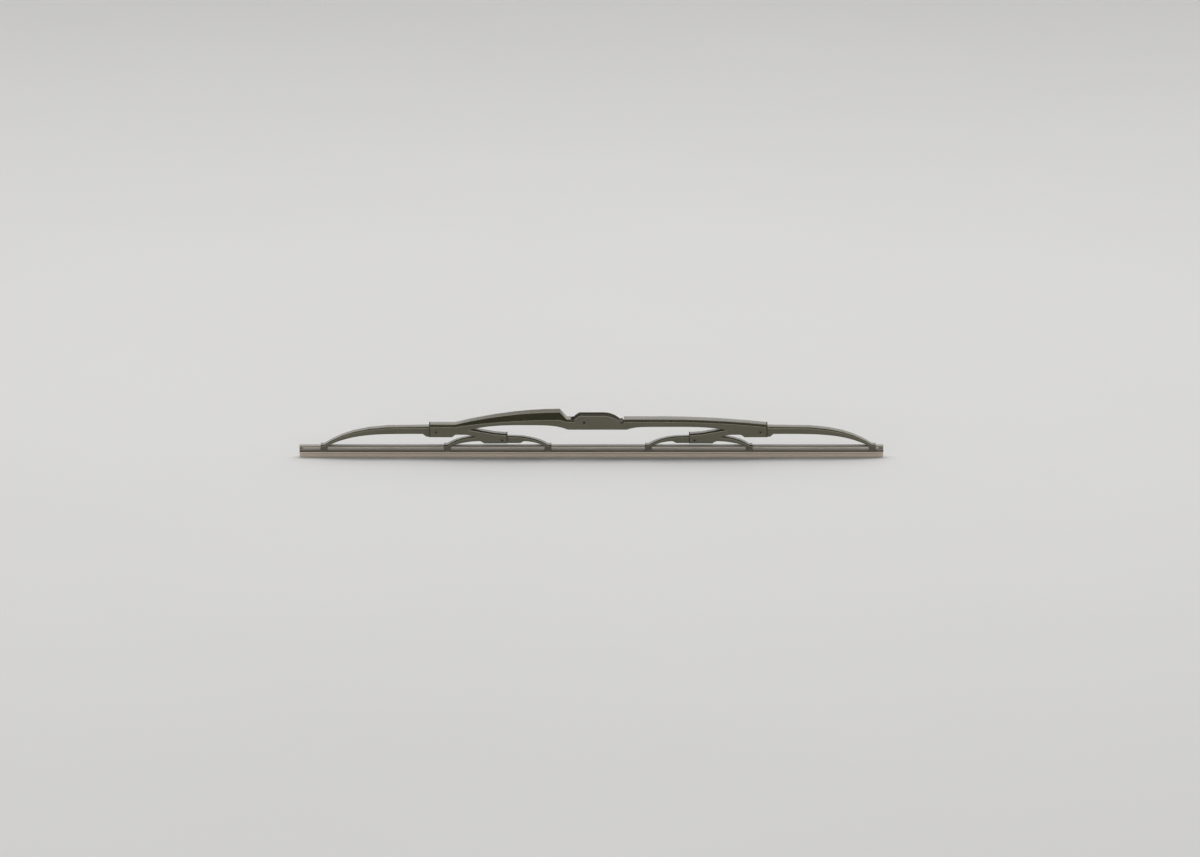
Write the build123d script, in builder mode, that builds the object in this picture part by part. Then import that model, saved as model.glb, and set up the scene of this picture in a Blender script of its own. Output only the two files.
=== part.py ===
from build123d import *

import os

os.makedirs("parts", exist_ok=True)

# A framed wiper blade, in millimetres. The origin is the middle of the arm pivot, +X runs along
# the blade, +Y across it, away from the wing's leaning face, and +Z points away from the glass.

# Lever layout, measured along X from the middle of the lever system
lever_centre = 10.9
outer_claw_offset = 211.2
middle_claw_offset = 116.3
inner_claw_offset = 38.65
secondary_pivot_offset = 124.85
tertiary_pivot_offset = 74.1
rubber_open_overhang = 19.1
rubber_closed_overhang = 8.5

# Heights of the pivots and of the rubber's top face
secondary_pivot_z = -7.9
tertiary_pivot_z = -14.85
rubber_top_z = -19.45

# Primary lever: a channel pressed from sheet, with a wing in its left half
primary_wall = 1.0
primary_centre_width = 13.8
primary_end_width = 11.8
primary_end_past_pivot = 4.55
web_top_z = 2.3
shoulder_size = 1.6
shoulder_radius = 1.1
arch_start = 60.0
belly_z = -3.4
wing_start_past_pivot = 14.35
wing_tall_x = -18.6
wing_foot_x = -13.2
wing_crest_z = 9.0
wing_crest_y = 1.6
wing_fold_y = -3.7
wing_fold_drop = 1.7
wing_shoulder_z = 2.0
wing_rear_drop = 1.0
primary_crown = 0.1
wing_belly_x = -45.0
wing_belly_z = -2.1
wing_steps = 7
arch_steps = 5

# Window in the primary lever's web, and the cheeks that stand up beside it
window_left = -10.1
window_right = 30.7
cheek_top_z = 4.9
cheek_bottom_z = -5.6
cheek_margin = 2.4
cheek_rise_start = -7.4
cheek_flat_start = -4.0
cheek_flat_end = 15.0
relief_z = -0.8
relief_width = 2.2
cheek_radius = 2.4

# Ears, the deeper walls round each lever pivot
secondary_ear_drop = 3.9
secondary_ear_reach = 12.3
secondary_ear_past = 7.5
tertiary_ear_drop = 2.35
tertiary_ear_reach = 14.0
ear_slope = 2.8
ear_rise = 2.1

# Smaller levers: the walls' depth before their lower edges are cut, and the sections along an arm
channel_blank_depth = 13.0
inner_arm_steps = 6
outer_arm_steps = 6
tertiary_steps = 6
tip_crowding = 0.48

# Secondary levers
secondary_wall = 0.9
secondary_rise = 4.1
secondary_end_past_pivot = 3.4
secondary_inner_depth = 4.0
secondary_outer_depth = 5.8
secondary_flat_length = 9.0
secondary_ear_step = 1.5
secondary_corner_radius = 1.4

# Tertiary levers
tertiary_wall = 0.8
tertiary_rise = 3.3
tertiary_arm_depth = 4.1
tertiary_corner_radius = 1.1

# Plastic bushes between the levers
bush_seat_clearance = 0.05
bush_side_clearance = 0.1
bush_top_clearance = 0.3
primary_bush_wall = 0.5
primary_bush_length = 11.0
primary_flange = 0.9
tertiary_bush_wall = 0.45
tertiary_bush_length = 8.0
tertiary_flange = 0.7

# Rivets
primary_pin_diameter = 3.0
tertiary_pin_diameter = 2.6
adapter_pin_diameter = 4.0
adapter_pin_head = 5.2
pin_proud = 0.2
dimple_diameter = 1.4
dimple_depth = 0.35
dimple_sides = 12
pin_fit = 0.02
pin_running_clearance = 0.05

# Squeegee rubber and its two spring strips
head_width = 6.4
head_height = 3.4
groove_height = 1.2
neck_width = 2.4
body_width = 5.4
body_height = 1.0
lip_width = 0.9
lip_height = 2.0
rubber_height = 9.2
head_chamfer = 0.4
flexor_thickness = 0.9
flexor_width = 2.0
flexor_inset = 0.15
flexor_clearance = 0.05
flexor_open_inset = 2.4
flexor_closed_inset = 3.4
flexor_corner = 0.4
slot_drop = 1.2
end_block_length = 5.0

# Claws that grip the rubber's head
claw_length = 5.2
claw_side_clearance = 0.15
claw_top_clearance = 0.2
claw_lip_clearance = 0.12
claw_lip_thickness = 0.85
claw_lip_gap = 0.5
claw_chamfer = 0.8
claw_wall_drop = 0.7

# Adapter, the plastic clip that the arm's hook goes round
adapter_side_clearance = 0.15
adapter_plate = 1.1
adapter_boss_radius = 4.4
adapter_end_clearance = 0.7
adapter_top_z = 4.6
adapter_bottom_z = -4.6
adapter_tail_top_z = 0.5
adapter_tail_bottom_z = -3.2
adapter_tail_length = 3.2
adapter_deck = 1.3
adapter_tongue_thickness = 1.2
adapter_tongue_width = 6.0
adapter_tongue_tip = 8.0
adapter_edge_radius = 0.8

# Places that follow from the sizes above
mirror_plane = Plane.YZ.offset(lever_centre)
secondary_pivot_x = lever_centre + secondary_pivot_offset
tertiary_pivot_x = lever_centre + tertiary_pivot_offset
primary_left_x = lever_centre - secondary_pivot_offset - primary_end_past_pivot
primary_right_x = secondary_pivot_x + primary_end_past_pivot
primary_end_inset = primary_wall + bush_seat_clearance
primary_end_top_z = (
    secondary_pivot_z + secondary_rise + bush_top_clearance + primary_bush_wall + primary_end_inset
)
wing_start_x = lever_centre - secondary_pivot_offset + wing_start_past_pivot
secondary_width = primary_end_width - 2 * (primary_end_inset + primary_bush_wall + bush_side_clearance)
secondary_top_z = secondary_pivot_z + secondary_rise
secondary_end_x = tertiary_pivot_x - secondary_end_past_pivot
secondary_end_inset = secondary_wall + bush_seat_clearance
secondary_end_top_z = (
    tertiary_pivot_z + tertiary_rise + bush_top_clearance + tertiary_bush_wall + secondary_end_inset
)
tertiary_width = secondary_width - 2 * (secondary_end_inset + tertiary_bush_wall + bush_side_clearance)
tertiary_top_z = tertiary_pivot_z + tertiary_rise
secondary_ear_z = secondary_pivot_z - secondary_ear_drop
tertiary_ear_z = tertiary_pivot_z - tertiary_ear_drop

head_bottom_z = rubber_top_z - head_height
groove_bottom_z = head_bottom_z - groove_height
lip_z = rubber_top_z - rubber_height
rubber_left_x = lever_centre - outer_claw_offset - rubber_open_overhang
rubber_right_x = lever_centre + outer_claw_offset + rubber_closed_overhang
slot_height = flexor_thickness + 2 * flexor_clearance
slot_top_z = rubber_top_z - slot_drop
slot_floor_y = head_width / 2 - flexor_inset - flexor_width - flexor_clearance

claw_pocket_top_z = rubber_top_z + claw_top_clearance
claw_lip_top_z = head_bottom_z - claw_lip_clearance
claw_bottom_z = claw_lip_top_z - claw_lip_thickness
claw_wall_z = claw_pocket_top_z - claw_wall_drop
arm_foot_z = claw_pocket_top_z

far_below_z = lip_z - rubber_height


def claw_width(wall):
    """Outside width of a claw in sheet of the given thickness."""
    return head_width + 2 * (claw_side_clearance + wall)


def claw_top_z(wall):
    return claw_pocket_top_z + wall


def taper(start, end, share):
    return start + (end - start) * share


def falling_arm(root, tip, degree):
    """Curve that leaves root level and falls ever more steeply to tip."""
    run = tip[0] - root[0]
    level = [(root[0] + run * step / degree, root[1]) for step in range(degree)]
    return Bezier(*level, tip)


def rising_arm(tip, root, degree):
    """The same curve, drawn from its low tip up to its level root."""
    run = root[0] - tip[0]
    level = [(tip[0] + run * step / degree, root[1]) for step in range(1, degree + 1)]
    return Bezier(tip, *level)


def bowed_fall(root, tip):
    """Arc that leaves root level and bends down to tip."""
    return TangentArc(root, tip, tangent=(1, 0))


# Sections of the levers
def primary_width(x):
    """The lever is widest at the window and tapers to both ends."""
    if x < wing_foot_x:
        share = (wing_foot_x - x) / (wing_foot_x - primary_left_x)
    else:
        share = max(0.0, (x - arch_start) / (primary_right_x - arch_start))
    return taper(primary_centre_width, primary_end_width, share)


def primary_face(x, inset=0.0):
    """Section of the primary lever at x: round-edged, or sharp and drawn in all round by inset.
    In the wing the front leans back to a fold, and from there the top rises to a crest."""
    half = primary_width(x) / 2
    share = 1.0
    top = web_top_z
    if x < wing_foot_x:
        share = min(1.0, (wing_tall_x - x) / (wing_tall_x - wing_start_x)) ** 2
        top = taper(wing_crest_z, primary_end_top_z, share)
    elif x > arch_start:
        fall = (x - arch_start) / (primary_right_x - arch_start)
        top = taper(web_top_z, primary_end_top_z, fall**2)
    plain_top = primary_end_top_z if x < wing_foot_x else top
    plain_shoulder = plain_top - primary_crown - shoulder_size
    shoulder = taper(wing_shoulder_z, plain_shoulder, share)
    fold_y = taper(wing_fold_y, shoulder_size - half, share)
    fold = top - taper(wing_fold_drop, primary_crown, share)
    crest_y = taper(wing_crest_y, 0.0, share)
    rear = top - taper(wing_rear_drop, primary_crown, share)
    floor = far_below_z - 2 * inset
    outline = [
        (-half, floor),
        (-half, shoulder),
        (fold_y, fold),
        (crest_y, top),
        (half - shoulder_size, rear),
        (half, rear - shoulder_size),
        (half, floor),
    ]
    with BuildSketch(Plane.YZ.offset(x)) as section:
        with BuildLine():
            Polyline(*outline, close=True)
        make_face()
        if inset > 0:
            offset(amount=-inset, kind=Kind.INTERSECTION, mode=Mode.REPLACE)
        else:
            corners = section.vertices().sort_by(Axis.Y)[2:]
            fillet(corners.filter_by(lambda v: abs(v.X - crest_y) > shoulder_radius), shoulder_radius)
    return section.sketch.face()


def channel_face(plane, width, radius, inset=0.0, run=1.0):
    """Section hanging below the plane's origin: round-edged, or sharp and drawn in by inset.
    Where the web slopes, run is the cosine of its slope, and keeps the sheet's thickness."""
    half = width / 2 - inset
    top = -inset / run
    floor = -channel_blank_depth
    with BuildSketch(plane) as section:
        with BuildLine():
            Polyline((-half, floor), (-half, top), (half, top), (half, floor), close=True)
        make_face()
        if inset == 0:
            fillet(section.vertices().sort_by(Axis.Y)[2:], radius)
    return section.sketch.face()


def even_shares(steps):
    """Where along a curve its sections stand: evenly from start to end."""
    return [step / steps for step in range(steps + 1)]


def falling_shares(steps):
    """The same for a falling arm: closer together towards its tip, where it bends most."""
    return [share**tip_crowding for share in even_shares(steps)]


def rising_shares(steps):
    return [1 - share for share in reversed(falling_shares(steps))]


def channel_faces(arms, radius, inset):
    """Upright sections along a ridge made of arms, each a curve with the places of its sections
    and the widths at its start and end. At a claw the last stretch of an arm is already as wide."""
    faces = []
    for ridge, shares, start_width, end_width in arms:
        for share in shares[1 if faces else 0 :]:
            width = start_width
            if end_width > start_width:
                width = taper(start_width, end_width, min(1.0, share / shares[-2]) ** 2)
            elif end_width < start_width:
                width = taper(end_width, start_width, min(1.0, (1 - share) / (1 - shares[1])) ** 2)
            plane = Plane(origin=ridge @ share, x_dir=(0, 1, 0), z_dir=(1, 0, 0))
            faces.append(channel_face(plane, width, radius, inset, (ridge % share).X))
    return faces


def add_claw(centre_x, wall):
    """Adds the walls of a claw, which wrap the rubber's head and hook into its groove."""
    with BuildSketch(Plane.XZ) as side:
        with Locations((centre_x, (claw_wall_z + claw_bottom_z) / 2)):
            Rectangle(claw_length, claw_wall_z - claw_bottom_z)
        chamfer(side.vertices().group_by(Axis.Y)[0], claw_chamfer)
    extrude(side.sketch, amount=claw_width(wall) / 2, both=True)
    with BuildSketch(Plane.YZ.offset(centre_x)) as passage:
        with Locations((0, (claw_pocket_top_z + claw_lip_top_z) / 2)):
            Rectangle(head_width + 2 * claw_side_clearance, claw_pocket_top_z - claw_lip_top_z)
        with Locations((0, claw_lip_top_z)):
            Rectangle(neck_width + 2 * claw_lip_gap, 2 * (claw_lip_thickness + claw_lip_clearance))
    extrude(passage.sketch, amount=claw_length, both=True, mode=Mode.SUBTRACT)


def add_rivet(x, z, diameter, grip):
    """Adds a rivet across the blade, a little proud of its grip, with a dimple in each end."""
    with BuildSketch(Plane.XZ) as shank:
        with Locations((x, z)):
            Circle(diameter / 2)
    length = grip / 2 + pin_proud
    extrude(shank.sketch, amount=length, both=True)
    for side in (-1, 1):
        with BuildSketch(Plane.XZ.offset(side * length)) as dimple:
            with Locations((x, z)):
                RegularPolygon(dimple_diameter / 2, dimple_sides)
        extrude(dimple.sketch, amount=-side * dimple_depth, mode=Mode.SUBTRACT)


def add_rivet_slot(x, z, diameter):
    """Cuts a round-topped slot, open below, by which a bush drops over its rivet."""
    radius = diameter / 2 + pin_running_clearance
    with BuildSketch(Plane.XZ) as slot:
        with Locations((x, z)):
            Circle(radius)
            Rectangle(2 * radius, z - far_below_z, align=(Align.CENTER, Align.MAX))
    extrude(slot.sketch, amount=primary_end_width, both=True, mode=Mode.SUBTRACT)


# Primary lever
with BuildPart() as primary_lever:
    stations = [primary_left_x]
    stations += [taper(wing_start_x, wing_tall_x, step / wing_steps) for step in range(wing_steps + 1)]
    stations += [wing_foot_x]
    stations += [taper(arch_start, primary_right_x, step / arch_steps) for step in range(arch_steps + 1)]
    loft([primary_face(x) for x in stations], ruled=True)
    # Cheeks stand up beside the window
    cheek_fall_end = (window_right - relief_width, relief_z)
    with BuildSketch(Plane.XZ) as cheek_outline:
        with BuildLine():
            bowed_fall((cheek_flat_end, cheek_top_z), cheek_fall_end)
            Polyline(
                cheek_fall_end,
                (window_right - relief_width, belly_z),
                (cheek_rise_start, belly_z),
                (cheek_rise_start, web_top_z),
                (cheek_flat_start, cheek_top_z),
                (cheek_flat_end, cheek_top_z),
            )
        make_face()
        fillet(cheek_outline.vertices().group_by(Axis.Y)[-1].sort_by(Axis.X)[0], cheek_radius)
    extrude(amount=primary_centre_width / 2, both=True)
    # Relief between the cheeks and the web
    with BuildSketch(Plane.XZ):
        with BuildLine():
            bowed_fall((cheek_flat_end, cheek_top_z), cheek_fall_end)
            Polyline(
                cheek_fall_end,
                (window_right, relief_z),
                (window_right, cheek_top_z),
                (cheek_flat_end, cheek_top_z),
            )
        make_face()
    extrude(amount=primary_centre_width, both=True, mode=Mode.SUBTRACT)
    loft([primary_face(x, primary_wall) for x in stations], ruled=True, mode=Mode.SUBTRACT)
    # Window through the web
    with BuildSketch(Plane.XY.offset(far_below_z)):
        with Locations(((window_left + window_right) / 2, 0)):
            Rectangle(window_right - window_left, primary_centre_width - 2 * primary_wall)
    extrude(amount=wing_crest_z - far_below_z, mode=Mode.SUBTRACT)
    # Lower edge of the side walls: an ear at each end, arched between, straight along the cheeks
    left_ear_x = 2 * lever_centre - secondary_pivot_x + secondary_ear_reach
    right_ear_x = secondary_pivot_x - secondary_ear_reach
    ear_shoulder_z = secondary_ear_z + ear_rise
    with BuildSketch(Plane.XZ):
        with BuildLine():
            Polyline(
                (primary_left_x - ear_slope, far_below_z),
                (primary_left_x - ear_slope, secondary_ear_z),
                (left_ear_x, secondary_ear_z),
                (left_ear_x + ear_slope, ear_shoulder_z),
            )
            rising_arm((left_ear_x + ear_slope, ear_shoulder_z), (wing_belly_x, wing_belly_z), 3)
            falling_arm((wing_belly_x, wing_belly_z), (window_left - cheek_margin, cheek_bottom_z), 4)
            Line((window_left - cheek_margin, cheek_bottom_z), (window_right + cheek_margin, cheek_bottom_z))
            rising_arm((window_right + cheek_margin, cheek_bottom_z), (arch_start, belly_z), 5)
            falling_arm((arch_start, belly_z), (right_ear_x - ear_slope, ear_shoulder_z), 4)
            Polyline(
                (right_ear_x - ear_slope, ear_shoulder_z),
                (right_ear_x, secondary_ear_z),
                (primary_right_x + ear_slope, secondary_ear_z),
                (primary_right_x + ear_slope, far_below_z),
                (primary_left_x - ear_slope, far_below_z),
            )
        make_face()
    extrude(amount=primary_centre_width, both=True, mode=Mode.SUBTRACT)
    # Rivet holes
    with BuildSketch(Plane.XZ):
        with Locations((0, 0)):
            Circle(adapter_pin_diameter / 2 + pin_fit)
        for side in (-1, 1):
            with Locations((lever_centre + side * secondary_pivot_offset, secondary_pivot_z)):
                Circle(primary_pin_diameter / 2 + pin_fit)
    extrude(amount=primary_centre_width, both=True, mode=Mode.SUBTRACT)

# Secondary levers
outer_claw_x = lever_centre + outer_claw_offset
with BuildPart() as secondary_lever_right:
    arm_run = secondary_pivot_x - secondary_end_x
    with BuildLine(Plane.XZ):
        inner_arm = Bezier(
            (secondary_end_x, secondary_end_top_z),
            (secondary_end_x + arm_run / 4, secondary_end_top_z),
            (secondary_end_x + arm_run / 2, secondary_top_z),
            (secondary_pivot_x, secondary_top_z),
        )
        outer_arm = falling_arm(
            (secondary_pivot_x, secondary_top_z), (outer_claw_x, claw_top_z(secondary_wall)), 4
        )
        outer_cover = Line(outer_arm @ 1, (outer_claw_x + claw_length / 2, claw_top_z(secondary_wall)))
    secondary_arms = [
        (inner_arm, even_shares(inner_arm_steps), secondary_width, secondary_width),
        (outer_arm, falling_shares(outer_arm_steps), secondary_width, claw_width(secondary_wall)),
        (outer_cover, even_shares(1), claw_width(secondary_wall), claw_width(secondary_wall)),
    ]
    loft(channel_faces(secondary_arms, secondary_corner_radius, 0.0), ruled=True)
    cavity = channel_faces(secondary_arms, secondary_corner_radius, secondary_wall)
    loft(cavity, ruled=True, mode=Mode.SUBTRACT)
    # Lower edge of the side walls, with an ear round each pivot
    inner_ear_x = tertiary_pivot_x + tertiary_ear_reach
    outer_ear_x = secondary_pivot_x + secondary_ear_past
    inner_arm_foot = (inner_ear_x + ear_slope, secondary_end_top_z - secondary_inner_depth)
    inner_arm_flat_x = right_ear_x - secondary_flat_length
    inner_arm_z = secondary_ear_z + secondary_ear_step
    outer_arm_root = (outer_ear_x + ear_slope, secondary_top_z - secondary_outer_depth)
    with BuildSketch(Plane.XZ):
        with BuildLine():
            Polyline(
                (secondary_end_x - ear_slope, far_below_z),
                (secondary_end_x - ear_slope, tertiary_ear_z),
                (inner_ear_x, tertiary_ear_z),
                inner_arm_foot,
            )
            rising_arm(inner_arm_foot, (inner_arm_flat_x, inner_arm_z), 2)
            Polyline(
                (inner_arm_flat_x, inner_arm_z),
                (right_ear_x - ear_slope, inner_arm_z),
                (right_ear_x, secondary_ear_z),
                (outer_ear_x, secondary_ear_z),
                outer_arm_root,
            )
            falling_arm(outer_arm_root, (outer_claw_x - claw_length / 2, arm_foot_z), 4)
            Polyline(
                (outer_claw_x - claw_length / 2, arm_foot_z),
                (outer_claw_x - claw_length / 2, head_bottom_z),
                (outer_claw_x + claw_length, head_bottom_z),
                (outer_claw_x + claw_length, far_below_z),
                (secondary_end_x - ear_slope, far_below_z),
            )
        make_face()
    extrude(amount=secondary_width, both=True, mode=Mode.SUBTRACT)
    add_claw(outer_claw_x, secondary_wall)
    with BuildSketch(Plane.XZ):
        with Locations((secondary_pivot_x, secondary_pivot_z)):
            Circle(primary_pin_diameter / 2 + pin_running_clearance)
        with Locations((tertiary_pivot_x, tertiary_pivot_z)):
            Circle(tertiary_pin_diameter / 2 + pin_fit)
    extrude(amount=secondary_width, both=True, mode=Mode.SUBTRACT)

with BuildPart() as secondary_lever_left:
    mirror(secondary_lever_right.part, about=mirror_plane)

# Tertiary levers
inner_claw_x = lever_centre + inner_claw_offset
middle_claw_x = lever_centre + middle_claw_offset
with BuildPart() as tertiary_lever_right:
    with BuildLine(Plane.XZ):
        near_arm = rising_arm(
            (inner_claw_x, claw_top_z(tertiary_wall)), (tertiary_pivot_x, tertiary_top_z), 3
        )
        far_arm = falling_arm(
            (tertiary_pivot_x, tertiary_top_z), (middle_claw_x, claw_top_z(tertiary_wall)), 4
        )
        near_cover = Line((inner_claw_x - claw_length / 2, claw_top_z(tertiary_wall)), near_arm @ 0)
        far_cover = Line(far_arm @ 1, (middle_claw_x + claw_length / 2, claw_top_z(tertiary_wall)))
    tertiary_arms = [
        (near_cover, even_shares(1), claw_width(tertiary_wall), claw_width(tertiary_wall)),
        (near_arm, rising_shares(tertiary_steps), claw_width(tertiary_wall), tertiary_width),
        (far_arm, falling_shares(tertiary_steps), tertiary_width, claw_width(tertiary_wall)),
        (far_cover, even_shares(1), claw_width(tertiary_wall), claw_width(tertiary_wall)),
    ]
    loft(channel_faces(tertiary_arms, tertiary_corner_radius, 0.0), ruled=True)
    cavity = channel_faces(tertiary_arms, tertiary_corner_radius, tertiary_wall)
    loft(cavity, ruled=True, mode=Mode.SUBTRACT)
    tertiary_arm_z = tertiary_top_z - tertiary_arm_depth
    near_ear_x = tertiary_pivot_x - tertiary_ear_reach
    with BuildSketch(Plane.XZ):
        with BuildLine():
            Polyline(
                (inner_claw_x - claw_length, far_below_z),
                (inner_claw_x - claw_length, head_bottom_z),
                (inner_claw_x + claw_length / 2, head_bottom_z),
                (inner_claw_x + claw_length / 2, arm_foot_z),
            )
            rising_arm(
                (inner_claw_x + claw_length / 2, arm_foot_z), (near_ear_x - ear_slope, tertiary_arm_z), 2
            )
            Polyline(
                (near_ear_x - ear_slope, tertiary_arm_z),
                (near_ear_x, tertiary_ear_z),
                (inner_ear_x, tertiary_ear_z),
                (inner_ear_x + ear_slope, tertiary_arm_z),
            )
            falling_arm(
                (inner_ear_x + ear_slope, tertiary_arm_z), (middle_claw_x - claw_length / 2, arm_foot_z), 2
            )
            Polyline(
                (middle_claw_x - claw_length / 2, arm_foot_z),
                (middle_claw_x - claw_length / 2, head_bottom_z),
                (middle_claw_x + claw_length, head_bottom_z),
                (middle_claw_x + claw_length, far_below_z),
                (inner_claw_x - claw_length, far_below_z),
            )
        make_face()
    extrude(amount=secondary_width, both=True, mode=Mode.SUBTRACT)
    add_claw(inner_claw_x, tertiary_wall)
    add_claw(middle_claw_x, tertiary_wall)
    with BuildSketch(Plane.XZ):
        with Locations((tertiary_pivot_x, tertiary_pivot_z)):
            Circle(tertiary_pin_diameter / 2 + pin_running_clearance)
    extrude(amount=secondary_width, both=True, mode=Mode.SUBTRACT)

with BuildPart() as tertiary_lever_left:
    mirror(tertiary_lever_right.part, about=mirror_plane)

# Bushes: plastic saddles inside the lever ends, each with a flange that covers the sheet's end
with BuildPart() as primary_bush_right:
    lining = primary_face(primary_right_x, primary_end_inset)
    bore = primary_face(primary_right_x, primary_end_inset + primary_bush_wall)
    extrude(lining, amount=-primary_bush_length)
    extrude(primary_face(primary_right_x, bush_seat_clearance), amount=primary_flange)
    extrude(bore, amount=primary_bush_length, both=True, mode=Mode.SUBTRACT)
    split(bisect_by=Plane.XY.offset(secondary_ear_z), keep=Keep.TOP)
    add_rivet_slot(secondary_pivot_x, secondary_pivot_z, primary_pin_diameter)

with BuildPart() as primary_bush_left:
    mirror(primary_bush_right.part, about=mirror_plane)

with BuildPart() as tertiary_bush_right:
    end_plane = Plane(
        origin=(secondary_end_x, 0, secondary_end_top_z), x_dir=(0, 1, 0), z_dir=(1, 0, 0)
    )
    extrude(
        channel_face(end_plane, secondary_width, secondary_corner_radius, secondary_end_inset),
        amount=tertiary_bush_length,
    )
    extrude(
        channel_face(end_plane, secondary_width, secondary_corner_radius, bush_seat_clearance),
        amount=-tertiary_flange,
    )
    extrude(
        channel_face(
            end_plane, secondary_width, secondary_corner_radius, secondary_end_inset + tertiary_bush_wall
        ),
        amount=tertiary_bush_length,
        both=True,
        mode=Mode.SUBTRACT,
    )
    split(bisect_by=Plane.XY.offset(tertiary_ear_z), keep=Keep.TOP)
    add_rivet_slot(tertiary_pivot_x, tertiary_pivot_z, tertiary_pin_diameter)

with BuildPart() as tertiary_bush_left:
    mirror(tertiary_bush_right.part, about=mirror_plane)


# Rivets
with BuildPart() as primary_pin_right:
    add_rivet(secondary_pivot_x, secondary_pivot_z, primary_pin_diameter, primary_width(secondary_pivot_x))

with BuildPart() as primary_pin_left:
    mirror(primary_pin_right.part, about=mirror_plane)

with BuildPart() as tertiary_pin_right:
    add_rivet(tertiary_pivot_x, tertiary_pivot_z, tertiary_pin_diameter, secondary_width)

with BuildPart() as tertiary_pin_left:
    mirror(tertiary_pin_right.part, about=mirror_plane)

with BuildPart() as adapter_pin:
    add_rivet(0, 0, adapter_pin_diameter, primary_centre_width)
    for side in (-1, 1):
        with BuildSketch(Plane.XZ.offset(side * primary_centre_width / 2)):
            Circle(adapter_pin_head / 2)
            Circle(adapter_pin_diameter / 2, mode=Mode.SUBTRACT)
        extrude(amount=side * pin_proud)

# Squeegee rubber
with BuildPart() as squeegee:
    with BuildSketch(Plane.YZ.offset(rubber_left_x)) as profile:
        with BuildLine() as half_profile:
            Polyline(
                (0, rubber_top_z),
                (head_width / 2, rubber_top_z),
                (head_width / 2, slot_top_z),
                (slot_floor_y, slot_top_z),
                (slot_floor_y, slot_top_z - slot_height),
                (head_width / 2, slot_top_z - slot_height),
                (head_width / 2, head_bottom_z),
                (neck_width / 2, head_bottom_z),
                (neck_width / 2, groove_bottom_z),
                (body_width / 2, groove_bottom_z),
                (body_width / 2, groove_bottom_z - body_height),
                (lip_width / 2, lip_z + lip_height),
                (lip_width / 2, lip_z),
                (0, lip_z),
            )
            mirror(about=Plane.YZ)
        make_face()
        chamfer(profile.vertices().group_by(Axis.Y)[-1], head_chamfer)
    extrude(amount=rubber_right_x - rubber_left_x)
    # Closed end, where the claws' groove is filled
    with BuildSketch(Plane.YZ.offset(rubber_right_x)):
        with Locations((0, (head_bottom_z + groove_bottom_z) / 2)):
            Rectangle(body_width, groove_height)
    extrude(amount=-end_block_length)

# Spring strips in the rubber's slots
flexor_y = head_width / 2 - flexor_inset - flexor_width / 2
with BuildPart() as flexor_rear:
    with BuildSketch(Plane.XY.offset(slot_top_z - slot_height + flexor_clearance)) as strip:
        left, right = rubber_left_x + flexor_open_inset, rubber_right_x - flexor_closed_inset
        with Locations(((left + right) / 2, flexor_y)):
            Rectangle(right - left, flexor_width)
        chamfer(strip.vertices(), flexor_corner)
    extrude(amount=flexor_thickness)

with BuildPart() as flexor_front:
    mirror(flexor_rear.part, about=Plane.XZ)

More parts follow.
